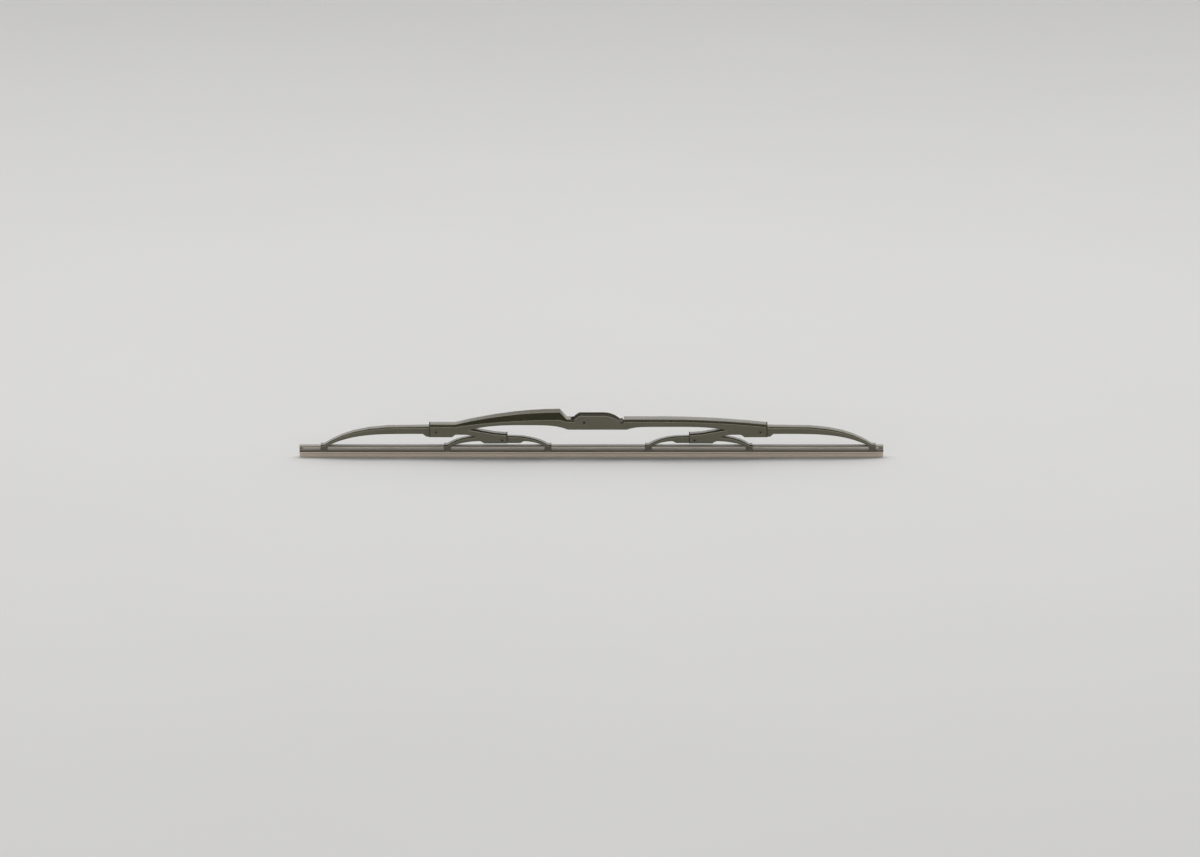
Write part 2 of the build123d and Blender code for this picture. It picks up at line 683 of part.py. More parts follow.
# Adapter
adapter_width = primary_centre_width - 2 * (primary_wall + adapter_side_clearance)
adapter_nose_x = window_left + adapter_end_clearance
adapter_tail_x = window_right - adapter_end_clearance
adapter_web_z = web_top_z - (cheek_top_z - adapter_top_z)
adapter_fall_end = (adapter_tail_x - adapter_tail_length, adapter_tail_top_z)
with BuildPart() as adapter:
    # Two side plates
    with BuildSketch(Plane.XZ) as plate:
        with BuildLine():
            bowed_fall((cheek_flat_end, adapter_top_z), adapter_fall_end)
            Polyline(
                adapter_fall_end,
                (adapter_tail_x, adapter_tail_top_z),
                (adapter_tail_x, adapter_tail_bottom_z),
                (adapter_boss_radius, adapter_bottom_z),
                (-adapter_boss_radius, adapter_bottom_z),
                (adapter_nose_x, -adapter_web_z),
                (adapter_nose_x, adapter_web_z),
                (cheek_rise_start, adapter_web_z),
                (cheek_flat_start, adapter_top_z),
                (cheek_flat_end, adapter_top_z),
            )
        make_face()
        fillet(plate.vertices().sort_by(Axis.X)[:5], adapter_edge_radius)
    extrude(amount=adapter_width / 2, both=True)
    slot_width = adapter_width - 2 * adapter_plate
    extrude(plate.sketch, amount=slot_width / 2, both=True, mode=Mode.SUBTRACT)
    # Boss round the pin, deck under the arm, tail wall and latch tongue
    with BuildSketch(Plane.XZ):
        Circle(adapter_boss_radius)
        with BuildLine():
            bowed_fall((cheek_flat_end, adapter_boss_radius), adapter_fall_end)
            Polyline(
                adapter_fall_end,
                (adapter_tail_x, adapter_tail_top_z),
                (adapter_tail_x, adapter_tail_bottom_z),
                (adapter_tail_x - adapter_deck, adapter_tail_bottom_z),
                (adapter_tail_x - adapter_deck, adapter_tail_top_z - adapter_deck),
                (adapter_tail_x - adapter_tail_length, adapter_tail_top_z - adapter_deck),
            )
            bowed_fall(
                (cheek_flat_end, adapter_boss_radius - adapter_deck),
                (adapter_tail_x - adapter_tail_length, adapter_tail_top_z - adapter_deck),
            )
            Polyline(
                (cheek_flat_end, adapter_boss_radius - adapter_deck),
                (0, adapter_boss_radius - adapter_deck),
                (0, adapter_boss_radius),
                (cheek_flat_end, adapter_boss_radius),
            )
        make_face()
    extrude(amount=(slot_width + adapter_plate) / 2, both=True)
    with BuildSketch(Plane.XZ):
        with BuildLine():
            Polyline(
                (adapter_tail_x, adapter_tail_bottom_z),
                (adapter_tail_x, adapter_tail_bottom_z + adapter_tongue_thickness),
                (adapter_tongue_tip, adapter_tail_bottom_z + adapter_tongue_thickness),
                (adapter_tongue_tip, adapter_bottom_z - adapter_tongue_thickness),
                (adapter_tongue_tip + adapter_tongue_thickness, adapter_bottom_z - adapter_tongue_thickness),
                (adapter_tongue_tip + 2 * adapter_tongue_thickness, adapter_tail_bottom_z),
                close=True,
            )
        make_face()
    extrude(amount=adapter_tongue_width / 2, both=True)
    with BuildSketch(Plane.XZ):
        Circle(adapter_pin_diameter / 2 + pin_running_clearance)
    extrude(amount=adapter_width, both=True, mode=Mode.SUBTRACT)

pieces = {
    "primary_lever": primary_lever,
    "secondary_lever_left": secondary_lever_left,
    "secondary_lever_right": secondary_lever_right,
    "tertiary_lever_left": tertiary_lever_left,
    "tertiary_lever_right": tertiary_lever_right,
    "primary_bush_left": primary_bush_left,
    "primary_bush_right": primary_bush_right,
    "tertiary_bush_left": tertiary_bush_left,
    "tertiary_bush_right": tertiary_bush_right,
    "primary_pin_left": primary_pin_left,
    "primary_pin_right": primary_pin_right,
    "tertiary_pin_left": tertiary_pin_left,
    "tertiary_pin_right": tertiary_pin_right,
    "adapter_pin": adapter_pin,
    "adapter": adapter,
    "squeegee": squeegee,
    "flexor_front": flexor_front,
    "flexor_rear": flexor_rear,
}
for label, piece in pieces.items():
    piece.part.label = label
    export_step(piece.part, f"parts/{label}.step")
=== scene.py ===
import bmesh
import bpy
import math
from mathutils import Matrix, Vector


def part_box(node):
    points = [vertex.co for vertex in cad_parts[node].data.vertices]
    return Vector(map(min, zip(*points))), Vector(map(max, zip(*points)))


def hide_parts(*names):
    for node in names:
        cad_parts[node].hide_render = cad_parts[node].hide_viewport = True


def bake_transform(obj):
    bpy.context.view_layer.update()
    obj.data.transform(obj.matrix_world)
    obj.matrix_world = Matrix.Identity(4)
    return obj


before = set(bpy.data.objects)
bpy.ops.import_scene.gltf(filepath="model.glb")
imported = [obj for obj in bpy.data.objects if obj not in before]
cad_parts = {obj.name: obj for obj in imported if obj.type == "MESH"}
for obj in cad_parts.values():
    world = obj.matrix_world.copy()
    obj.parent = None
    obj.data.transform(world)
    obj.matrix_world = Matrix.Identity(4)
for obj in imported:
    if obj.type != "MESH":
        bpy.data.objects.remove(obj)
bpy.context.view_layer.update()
bpy.ops.object.select_all(action="DESELECT")

# Where the levers' claws hold the rubber, in metres
mm = 0.001
lever_centre = 10.9 * mm

# Section of the rubber, from its head down to its lip
rubber_low, rubber_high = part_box("squeegee")
rubber_top_z = rubber_high.z
lip_z = rubber_low.z
head_half = rubber_high.y
head_height = 3.4 * mm
head_chamfer = 0.4 * mm
slot_drop = 1.2 * mm
slot_height = 1.0 * mm
slot_floor = 1.0 * mm
groove_height = 1.2 * mm
neck_half = 1.2 * mm
body_half = 2.7 * mm
body_height = 1.0 * mm
lip_half = 0.45 * mm
lip_height = 2.0 * mm
rubber_edge = 0.16 * mm
slot_top_z = rubber_top_z - slot_drop
slot_bottom_z = slot_top_z - slot_height
head_bottom_z = rubber_top_z - head_height
body_top_z = head_bottom_z - groove_height
body_bottom_z = body_top_z - body_height

# Block that closes the groove at the rubber's right end
end_block_length = 5.0 * mm
end_block_sink = 0.2 * mm
end_block_corner = 0.7 * mm
end_block_segments = 3

# Spring strips
strip_low, strip_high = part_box("flexor_front")
strip_corner = 0.4 * mm
strip_edge = 0.1 * mm

# Joint between the halves: the spare end is cut off, and the tongue crosses the slide
joint_spare = 0.6 * mm
joint_slide = 1.5 * mm
tongue_length = 1.0 * mm
tongue_inset = 0.015 * mm
tongue_taper = 0.12 * mm

# Fineness of the meshes
bend_step = 9.0 * mm
edge_segments = 2
sharp_angle = math.radians(25)
smooth_angle = math.radians(40)
flat_angle = math.radians(1)
hair = 0.01 * mm


# Modelling helpers
def edit(piece):
    """Opens a piece, and no other, in edit mode."""
    bpy.ops.object.select_all(action="DESELECT")
    bpy.context.view_layer.objects.active = piece
    piece.select_set(True)
    bpy.ops.object.mode_set(mode="EDIT")


def leave(piece):
    """Goes back to object mode, with the piece deselected."""
    bpy.ops.object.mode_set(mode="OBJECT")
    piece.select_set(False)


def pick_all():
    """In edit mode, selects everything."""
    bpy.ops.mesh.select_mode(type="FACE")
    bpy.ops.mesh.select_all(action="SELECT")


def pick(piece, kind, test):
    """In edit mode, selects only the faces or edges that pass a test of them and their middle."""
    bpy.ops.mesh.select_mode(type="FACE" if kind == "faces" else "EDGE")
    bpy.ops.mesh.select_all(action="DESELECT")
    shape = bmesh.from_edit_mesh(piece.data)
    for part in getattr(shape, kind):
        middle = sum((vert.co for vert in part.verts), Vector()) / len(part.verts)
        part.select_set(bool(test(part, middle)))
    bmesh.update_edit_mesh(piece.data)


def level_edge(z, half):
    """A test for the edges that lie level at z, with their middle nearer the centre than half."""

    def test(edge, middle):
        first, second = edge.verts
        level = abs(first.co.z - second.co.z) < hair
        return level and abs(middle.z - z) < hair and abs(middle.y) < half

    return test


def upright_edge(low_z, high_z, y):
    """A test for the edges at y whose middle is between two heights."""

    def test(edge, middle):
        return low_z < middle.z < high_z and abs(middle.y - y) < hair

    return test


def end_face(x):
    """A test for the faces that lie across the blade at x."""

    def test(face, middle):
        return all(abs(vert.co.x - x) < hair for vert in face.verts)

    return test


def slice_at(point, normal):
    """Cuts what is selected along a plane, keeping both sides."""
    bpy.ops.mesh.bisect(plane_co=point, plane_no=normal)


def slice_along(start_x, end_x):
    """Divides a long piece across X so that it can bend."""
    count = round(abs(end_x - start_x) / bend_step)
    for cut in range(1, count):
        pick_all()
        slice_at((start_x + (end_x - start_x) * cut / count, 0, 0), (1, 0, 0))


def extrude_edges(dy=0.0, dz=0.0):
    bpy.ops.mesh.extrude_edges_move(TRANSFORM_OT_translate={"value": (0, dy, dz)})


def extrude_faces(dx):
    bpy.ops.mesh.extrude_region_move(TRANSFORM_OT_translate={"value": (dx, 0, 0)})


def apply_modifier(piece, modifier):
    bpy.context.view_layer.objects.active = piece
    bpy.ops.object.modifier_apply(modifier=modifier.name)


def round_edges(piece, width):
    """Rounds a piece's sharp edges."""
    bevel = piece.modifiers.new("rounded_edges", "BEVEL")
    bevel.width = width
    bevel.segments = edge_segments
    bevel.limit_method = "ANGLE"
    bevel.angle_limit = sharp_angle
    bevel.use_clamp_overlap = True
    apply_modifier(piece, bevel)


def smooth(piece):
    """Shades a piece smooth up to its sharp edges."""
    bpy.context.view_layer.objects.active = piece
    piece.select_set(True)
    bpy.ops.object.shade_smooth_by_angle(angle=smooth_angle)
    piece.select_set(False)


# Rubber and spring strips
def rubber_profile(name, x):
    """Starts a rubber half as a flat section at x, drawn from its head down to its lip."""
    bpy.ops.mesh.primitive_plane_add(size=1, location=(0, 0, 0))
    piece = bpy.context.object
    piece.name = name
    edit(piece)
    pick_all()
    bpy.ops.transform.resize(value=(slot_drop, 2 * head_half, 1), center_override=(0, 0, 0))
    bpy.ops.transform.rotate(value=math.pi / 2, orient_axis="Y", center_override=(0, 0, 0))
    bpy.ops.transform.translate(value=(x, 0, (rubber_top_z + slot_top_z) / 2))
    # Spine between the two strip slots, then the lower half of the head
    for side in (-1, 1):
        pick_all()
        slice_at((x, side * slot_floor, 0), (0, 1, 0))
    pick(piece, "edges", level_edge(slot_top_z, slot_floor))
    extrude_edges(dz=-slot_height)
    extrude_edges(dz=head_bottom_z - slot_bottom_z)
    for side in (-1, 1):
        pick(piece, "edges", upright_edge(head_bottom_z, slot_bottom_z, side * slot_floor))
        extrude_edges(dy=side * (neck_half - slot_floor))
        extrude_edges(dy=side * (head_half - neck_half))
    # Neck, body, and the taper down to the lip
    pick(piece, "edges", level_edge(head_bottom_z, neck_half))
    extrude_edges(dz=-groove_height)
    extrude_edges(dz=-body_height)
    for side in (-1, 1):
        pick(piece, "edges", upright_edge(body_bottom_z, body_top_z, side * neck_half))
        extrude_edges(dy=side * (body_half - neck_half))
    pick(piece, "edges", level_edge(body_bottom_z, body_half))
    extrude_edges(dz=lip_z + lip_height - body_bottom_z)
    bpy.ops.transform.resize(value=(1, lip_half / body_half, 1), center_override=(x, 0, 0))
    extrude_edges(dz=-lip_height)
    return piece


def fill_groove_end(piece, outer_x):
    """Closes the claws' groove at the end where the rubber is held."""
    bpy.ops.mesh.primitive_cube_add(
        size=1,
        location=(outer_x - end_block_length / 2, 0, head_bottom_z - groove_height / 2),
        scale=(end_block_length, 2 * (body_half - hair), groove_height + 2 * end_block_sink),
    )
    block = bpy.context.object
    bpy.ops.object.transform_apply(location=True, rotation=True, scale=True)

    def inner_corner(edge, middle):
        inner = middle.x < outer_x - end_block_length + hair
        return inner and abs(abs(middle.y) - body_half) < 2 * hair

    edit(block)
    pick(block, "edges", inner_corner)
    bpy.ops.mesh.bevel(offset=end_block_corner, segments=end_block_segments)
    leave(block)
    union = piece.modifiers.new("closed_end", "BOOLEAN")
    union.operation = "UNION"
    union.solver = "EXACT"
    union.object = block
    apply_modifier(piece, union)
    bpy.data.objects.remove(block, do_unlink=True)
    # The end is flat, so it becomes one face
    edit(piece)
    pick(piece, "faces", end_face(outer_x))
    bpy.ops.mesh.dissolve_faces()
    leave(piece)


def joint_end(piece, x, outward, low_z, high_z):
    """Cuts a half off where the two halves meet. The left one keeps a slightly thinner tongue,
    which slides in the right one and covers the joint as the blade flexes."""
    tongue = outward < 0
    cut_x = x + outward * joint_slide if tongue else x
    edit(piece)
    pick_all()
    bpy.ops.mesh.bisect(
        plane_co=(cut_x, 0, 0), plane_no=(outward, 0, 0), use_fill=True, clear_inner=True
    )
    if tongue:
        pick(piece, "faces", end_face(cut_x))
        bpy.ops.mesh.inset(thickness=tongue_inset, depth=0)
        for length in (joint_slide, tongue_length):
            extrude_faces(dx=-outward * length)
        bpy.ops.transform.resize(
            value=(1, 1, 1 - 2 * tongue_taper / (high_z - low_z)),
            center_override=(x, 0, (low_z + high_z) / 2),
        )
    leave(piece)


def finish_half(piece, edge, inner_x, outer_x, low_z, high_z):
    """Rounds a half's edges, divides it for bending, cuts its end at the joint and shades it."""
    round_edges(piece, edge)
    edit(piece)
    slice_along(inner_x, outer_x)
    leave(piece)
    joint_end(piece, inner_x, math.copysign(1.0, outer_x - inner_x), low_z, high_z)
    smooth(piece)


def spare_start(inner_x, outer_x):
    """Where a half is drawn from, a little past the joint."""
    return inner_x - math.copysign(joint_spare, outer_x - inner_x)


def rubber_half(name, inner_x, outer_x, closed):
    """One half of the squeegee rubber, from the middle of the blade out to its end."""
    start_x = spare_start(inner_x, outer_x)

    def top_corner(edge, middle):
        return abs(middle.z - rubber_top_z) < hair and abs(abs(middle.y) - head_half) < hair

    piece = rubber_profile(name, start_x)
    pick_all()
    extrude_faces(dx=outer_x - start_x)
    pick_all()
    bpy.ops.mesh.remove_doubles(threshold=hair)
    bpy.ops.mesh.normals_make_consistent(inside=False)
    bpy.ops.mesh.dissolve_limited(angle_limit=flat_angle)
    pick(piece, "edges", top_corner)
    bpy.ops.mesh.bevel(offset=head_chamfer, segments=edge_segments)
    leave(piece)
    if closed:
        fill_groove_end(piece, outer_x)
    finish_half(piece, rubber_edge, inner_x, outer_x, lip_z, rubber_top_z)
    return piece


def strip_half(name, node, inner_x, outer_x):
    """One half of a spring strip, with its clipped end corners and rolled edges."""
    low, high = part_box(node)
    middle_z = (low.z + high.z) / 2
    start_x = spare_start(inner_x, outer_x)

    def end_corner(edge, middle):
        return abs(middle.x - outer_x) < hair and abs(middle.z - middle_z) < hair

    bpy.ops.mesh.primitive_cube_add(
        size=1,
        location=((start_x + outer_x) / 2, (low.y + high.y) / 2, middle_z),
        scale=(abs(outer_x - start_x), high.y - low.y, high.z - low.z),
    )
    piece = bpy.context.object
    piece.name = name
    bpy.ops.object.transform_apply(location=True, rotation=True, scale=True)
    edit(piece)
    pick(piece, "edges", end_corner)
    bpy.ops.mesh.bevel(offset=strip_corner, segments=1)
    leave(piece)
    finish_half(piece, strip_edge, inner_x, outer_x, low.z, high.z)
    return piece


# Shader nodes, in a material, an effect or the room
def set_socket(tree, socket, value):
    """Gives a socket a number, a place or a colour, or links it to another node's output."""
    if isinstance(value, bpy.types.NodeSocket):
        tree.links.new(value, socket)
    elif isinstance(value, tuple):
        socket.default_value = (*value, 1.0)
    else:
        socket.default_value = value


def math_node(tree, operation, first, second=None, clamp=False):
    node = tree.nodes.new("ShaderNodeMath")
    node.operation = operation
    node.use_clamp = clamp
    set_socket(tree, node.inputs[0], first)
    if second is not None:
        set_socket(tree, node.inputs[1], second)
    return node.outputs["Value"]


def vector_node(tree, operation, first, second=None):
    """A vector math node. Returns its outputs, Vector and Value."""
    node = tree.nodes.new("ShaderNodeVectorMath")
    node.operation = operation
    set_socket(tree, node.inputs[0], first)
    if second is not None:
        set_socket(tree, node.inputs[1], second)
    return node.outputs


def split_node(tree, vector):
    """The outputs X, Y and Z of a vector."""
    node = tree.nodes.new("ShaderNodeSeparateXYZ")
    tree.links.new(vector, node.inputs["Vector"])
    return node.outputs


def noise_node(tree, vector, scale, detail=2.0, roughness=0.5):
    node = tree.nodes.new("ShaderNodeTexNoise")
    tree.links.new(vector, node.inputs["Vector"])
    set_socket(tree, node.inputs["Scale"], scale)
    node.inputs["Detail"].default_value = detail
    node.inputs["Roughness"].default_value = roughness
    return node.outputs["Fac"]


def ramp_node(tree, value, start, end, at_start=0.0, at_end=1.0):
    """Goes smoothly from one level to another while a value goes from its start to its end."""
    node = tree.nodes.new("ShaderNodeMapRange")
    node.interpolation_type = "SMOOTHSTEP"
    tree.links.new(value, node.inputs["Value"])
    node.inputs["From Min"].default_value = start
    node.inputs["From Max"].default_value = end
    node.inputs["To Min"].default_value = at_start
    node.inputs["To Max"].default_value = at_end
    return node.outputs["Result"]


# Effects that several finishes share
number_socket = "NodeSocketFloat"
vector_socket = "NodeSocketVector"
dust_specks_per_metre = 900.0


def new_effect(name, inputs, outputs):
    """An empty node group. Returns it with the sockets that it is given and that it gives."""
    effect = bpy.data.node_groups.new(name, "ShaderNodeTree")
    for way, sockets in (("INPUT", inputs), ("OUTPUT", outputs)):
        for socket, kind in sockets.items():
            effect.interface.new_socket(socket, in_out=way, socket_type=kind)
    given = effect.nodes.new("NodeGroupInput")
    result = effect.nodes.new("NodeGroupOutput")
    return effect, given.outputs, result.inputs


def make_surface_grain():
    """Fine grain and a broad cloudiness, each given its size in metres."""
    effect, given, result = new_effect(
        "surface_grain",
        {"Vector": vector_socket, "Grain Size": number_socket, "Cloud Size": number_socket},
        {"Grain": number_socket, "Cloud": number_socket},
    )
    grain_scale = math_node(effect, "DIVIDE", 1.0, given["Grain Size"])
    cloud_scale = math_node(effect, "DIVIDE", 1.0, given["Cloud Size"])
    grain = noise_node(effect, given["Vector"], grain_scale)
    cloud = noise_node(effect, given["Vector"], cloud_scale, detail=4.0, roughness=0.6)
    effect.links.new(grain, result["Grain"])
    effect.links.new(cloud, result["Cloud"])
    return effect


def make_edge_rub():
    """Where an edge has rubbed: from the rounded normal, broken up by the cloudiness."""
    effect, given, result = new_effect(
        "edge_rub",
        {"Rounded Normal": vector_socket, "Cloud": number_socket, "Reach": number_socket},
        {"Mask": number_socket},
    )
    face = effect.nodes.new("ShaderNodeNewGeometry").outputs["Normal"]
    turn = vector_node(effect, "DOT_PRODUCT", face, given["Rounded Normal"])["Value"]
    edge = math_node(effect, "SUBTRACT", 1.0, turn)
    edge = math_node(effect, "MULTIPLY", edge, given["Reach"], clamp=True)
    broken = ramp_node(effect, given["Cloud"], start=0.3, end=0.65, at_start=0.25)
    mask = math_node(effect, "MULTIPLY", edge, broken, clamp=True)
    effect.links.new(mask, result["Mask"])
    return effect


def make_settled_dust():
    """Dust that lies on the faces that look up."""
    effect, given, result = new_effect(
        "settled_dust",
        {"Vector": vector_socket, "Amount": number_socket},
        {"Mask": number_socket},
    )
    face = effect.nodes.new("ShaderNodeNewGeometry").outputs["Normal"]
    upward = ramp_node(effect, split_node(effect, face)["Z"], start=0.25, end=1.0)
    specks = noise_node(effect, given["Vector"], dust_specks_per_metre, detail=5.0, roughness=0.7)
    patchy = ramp_node(effect, specks, start=0.35, end=0.75, at_start=0.35)
    mask = math_node(effect, "MULTIPLY", upward, patchy)
    mask = math_node(effect, "MULTIPLY", mask, given["Amount"], clamp=True)
    effect.links.new(mask, result["Mask"])
    return effect


def make_long_streaks():
    """Fine lines along the blade, left by drawing or extruding."""
    effect, given, result = new_effect(
        "long_streaks",
        {"Vector": vector_socket, "Length": number_socket, "Width": number_socket},
        {"Streak": number_socket},
    )
    along = math_node(effect, "DIVIDE", 1.0, given["Length"])
    across = math_node(effect, "DIVIDE", 1.0, given["Width"])
    scale = effect.nodes.new("ShaderNodeCombineXYZ")
    effect.links.new(along, scale.inputs["X"])
    effect.links.new(across, scale.inputs["Y"])
    effect.links.new(across, scale.inputs["Z"])
    stretched = vector_node(effect, "MULTIPLY", given["Vector"], scale.outputs["Vector"])["Vector"]
    lines = noise_node(effect, stretched, 1.0, detail=3.0, roughness=0.6)
    effect.links.new(lines, result["Streak"])
    return effect


surface_grain = make_surface_grain()
edge_rub = make_edge_rub()
settled_dust = make_settled_dust()
long_streaks = make_long_streaks()

# The Mix node's colour sockets, by number because other sockets share their names
mix_share, mix_first, mix_second = 0, 6, 7
mix_result = 2


class Finish:
    """A material under construction: its tree, its shader and its object coordinates."""

    rim_share = 0.2
    edge_samples = 6

    def __init__(self, name):
        self.material = bpy.data.materials.new(name)
        self.material.use_nodes = True
        self.tree = self.material.node_tree
        self.shader = self.tree.nodes["Principled BSDF"]
        self.place = self.tree.nodes.new("ShaderNodeTexCoord").outputs["Object"]

    def effect(self, group, **values):
        """Places a shared effect with its values. Returns its outputs."""
        node = self.tree.nodes.new("ShaderNodeGroup")
        node.node_tree = group
        for name, value in values.items():
            set_socket(self.tree, node.inputs[name.replace("_", " ")], value)
        if "Vector" in node.inputs:
            self.tree.links.new(self.place, node.inputs["Vector"])
        return node.outputs

    def calculate(self, operation, first, second=None):
        return math_node(self.tree, operation, first, second)

    def ramp(self, value, start, end, at_start=0.0, at_end=1.0):
        return ramp_node(self.tree, value, start, end, at_start, at_end)

    def along(self, axis):
        return split_node(self.tree, self.place)[axis]

    def mix(self, share, first, second):
        node = self.tree.nodes.new("ShaderNodeMix")
        node.data_type = "RGBA"
        self.tree.links.new(share, node.inputs[mix_share])
        set_socket(self.tree, node.inputs[mix_first], first)
        set_socket(self.tree, node.inputs[mix_second], second)
        return node.outputs[mix_result]

    def spot(self, centre, radius):
        """A round spot about an axis along Y, soft at its rim."""
        away = vector_node(self.tree, "SUBTRACT", self.place, centre)["Vector"]
        flat = vector_node(self.tree, "MULTIPLY", away, Vector((1.0, 0.0, 1.0)))["Vector"]
        distance = vector_node(self.tree, "LENGTH", flat)["Value"]
        return self.ramp(distance, (1 + self.rim_share) * radius, (1 - self.rim_share) * radius)

    def rounded_normal(self, radius):
        node = self.tree.nodes.new("ShaderNodeBevel")
        node.samples = self.edge_samples
        node.inputs["Radius"].default_value = radius
        return node.outputs["Normal"]

    def bump(self, height, distance, strength, normal=None):
        node = self.tree.nodes.new("ShaderNodeBump")
        node.inputs["Strength"].default_value = strength
        node.inputs["Distance"].default_value = distance
        self.tree.links.new(height, node.inputs["Height"])
        if normal is not None:
            self.tree.links.new(normal, node.inputs["Normal"])
        return node.outputs["Normal"]

    def feed(self, **values):
        """Sets or links the shader's sockets. Returns the finished material."""
        for name, value in values.items():
            set_socket(self.tree, self.shader.inputs[name.replace("_", " ")], value)
        return self.material


# Paint on the levers and rivets
paint_sheen = (1.0, 0.95, 0.79)
paint_dust = (0.40, 0.39, 0.36)
# Painted shade on the claws: its colour, how far above the rubber's top it starts, how far it fades
# and how dark it gets
painted_claw_shade = (0.004, 0.004, 0.002)
claw_shade_rise = 1.3 * mm
claw_shade_fade = 1.5 * mm
claw_shade_share = 0.85
# Painted shade in the rivets' dimples: its colour, its extra roughness, and the spot's radius on
# the small rivets and on the adapter's rivet
painted_dimple_shade = (0.006, 0.006, 0.004)
dimple_shade_roughness = 0.5
rivet_dot = 0.75 * mm
adapter_rivet_dot = 1.0 * mm


def coated_steel(name, body, clouded, rubbed, gloss, dot=None, claw_shade_z=None):
    """Stoved gloss paint on pressed steel: slight orange peel, edges rubbed grey, dust on top.
    On a rivet, dot is the centre and radius of a black spot of painted shade in the dimple in the
    middle of its ends.
    Below a given height, near the claws, the colour darkens towards black: painted shade."""
    finish = Finish(name)
    grain = finish.effect(surface_grain, Grain_Size=0.9 * mm, Cloud_Size=18 * mm)
    rounded = finish.rounded_normal(radius=0.25 * mm)
    wear = finish.effect(edge_rub, Rounded_Normal=rounded, Cloud=grain["Cloud"], Reach=1.6)
    settled = finish.effect(settled_dust, Amount=0.025)
    colour = finish.mix(grain["Cloud"], body, clouded)
    colour = finish.mix(wear["Mask"], colour, rubbed)
    colour = finish.mix(settled["Mask"], colour, paint_dust)
    roughness = finish.ramp(grain["Cloud"], start=0.3, end=0.7, at_start=0.2, at_end=0.27)
    roughness = finish.calculate("ADD", roughness, settled["Mask"])
    # Painted shade: low down at the claws, near the rubber, the colour is darkened towards black
    if claw_shade_z is not None:
        claw_shaded = finish.ramp(finish.along("Z"), claw_shade_z, claw_shade_z - claw_shade_fade, at_end=claw_shade_share)
        colour = finish.mix(claw_shaded, colour, painted_claw_shade)
    # Painted shade: a black spot fills the dimple in the middle of the rivet's end
    if dot is not None:
        dimple_shade = finish.spot(*dot)
        colour = finish.mix(dimple_shade, colour, painted_dimple_shade)
        roughened = finish.calculate("MULTIPLY", dimple_shade, dimple_shade_roughness)
        roughness = finish.calculate("ADD", roughness, roughened)
    normal = finish.bump(grain["Grain"], distance=0.01 * mm, strength=0.15, normal=rounded)
    return finish.feed(
        Base_Color=colour, Roughness=roughness, Normal=normal, IOR=gloss, Specular_Tint=paint_sheen
    )


def rivet_steel(pin):
    """The paint on one rivet."""
    low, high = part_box(pin)
    dot_radius = adapter_rivet_dot if pin == "adapter_pin" else rivet_dot
    return coated_steel(
        f"rivet_steel_{pin}",
        body=(0.096, 0.092, 0.067),
        clouded=(0.106, 0.102, 0.076),
        rubbed=(0.115, 0.112, 0.088),
        gloss=1.42,
        dot=((low + high) / 2, dot_radius),
    )


# Plastic of the adapter and the bushes
plastic_dust = (0.30, 0.29, 0.26)
# Painted light that lifts the shade at the adapter's nose and tail: its colour, how far it goes,
# and where it ramps up along X
painted_light_grey = (0.115, 0.110, 0.090)
painted_light_share = 0.8
adapter_nose_painted_light = (-0.5 * mm, -3.0 * mm)
adapter_tail_painted_light = (26.0 * mm, 27.5 * mm)


def moulded_plastic(name, body, clouded, rubbed, grain_size, painted_light_ends=()):
    """Matt moulded plastic with a fine spark-eroded grain. At each end given, the colour turns pale
    from a first
    place along X to a second one: painted light that lifts the shade inside the adapter's ends."""
    finish = Finish(name)
    grain = finish.effect(surface_grain, Grain_Size=grain_size, Cloud_Size=6 * mm)
    rounded = finish.rounded_normal(radius=0.3 * mm)
    wear = finish.effect(edge_rub, Rounded_Normal=rounded, Cloud=grain["Cloud"], Reach=3.0)
    settled = finish.effect(settled_dust, Amount=0.03)
    colour = finish.mix(grain["Cloud"], body, clouded)
    colour = finish.mix(wear["Mask"], colour, rubbed)
    # Painted light: the ends that lie in shade are turned pale
    for unlit_x, lit_x in painted_light_ends:
        lightened = finish.ramp(finish.along("X"), unlit_x, lit_x, at_end=painted_light_share)
        colour = finish.mix(lightened, colour, painted_light_grey)
    colour = finish.mix(settled["Mask"], colour, plastic_dust)
    roughness = finish.ramp(grain["Grain"], start=0.2, end=0.8, at_start=0.7, at_end=0.9)
    normal = finish.bump(grain["Grain"], distance=0.05 * mm, strength=0.4, normal=rounded)
    return finish.feed(
        Base_Color=colour, Roughness=roughness, Normal=normal, Specular_IOR_Level=0.06
    )


# Rubber: its tones, and where each mask along it starts and ends
head_brown = (0.170, 0.147, 0.114)
head_brown_clouded = (0.220, 0.192, 0.153)
# Painted light: the paler tan of the wiping part, as if lit from the front
wiping_painted_light_tan = (0.480, 0.416, 0.336)
wiping_painted_light_tan_clouded = (0.560, 0.492, 0.405)
die_line_brown = (0.125, 0.108, 0.084)
# Painted shade in the groove between the head and the body
painted_groove_shade = (0.075, 0.063, 0.046)
# Dust on the rubber's top, made pale and thick so that it is also painted light on the top, which
# the levers shade
rubber_dust_and_top_light = (0.42, 0.40, 0.37)
# Where the painted light on the wiping part starts, around the body's top
painted_light_reach = (body_top_z + 0.2 * mm, body_top_z - 0.2 * mm)
groove_side = (body_half + 0.4 * mm, body_half + 0.2 * mm)
groove_bottom = (body_top_z - 0.45 * mm, body_top_z - 0.2 * mm)
groove_top = (body_top_z + 2.2 * mm, body_top_z + 1.8 * mm)
rubber_half_length = (rubber_high.x - rubber_low.x) / 2
cut_end_reach = (rubber_half_length - 0.1 * mm, rubber_half_length - 0.03 * mm)


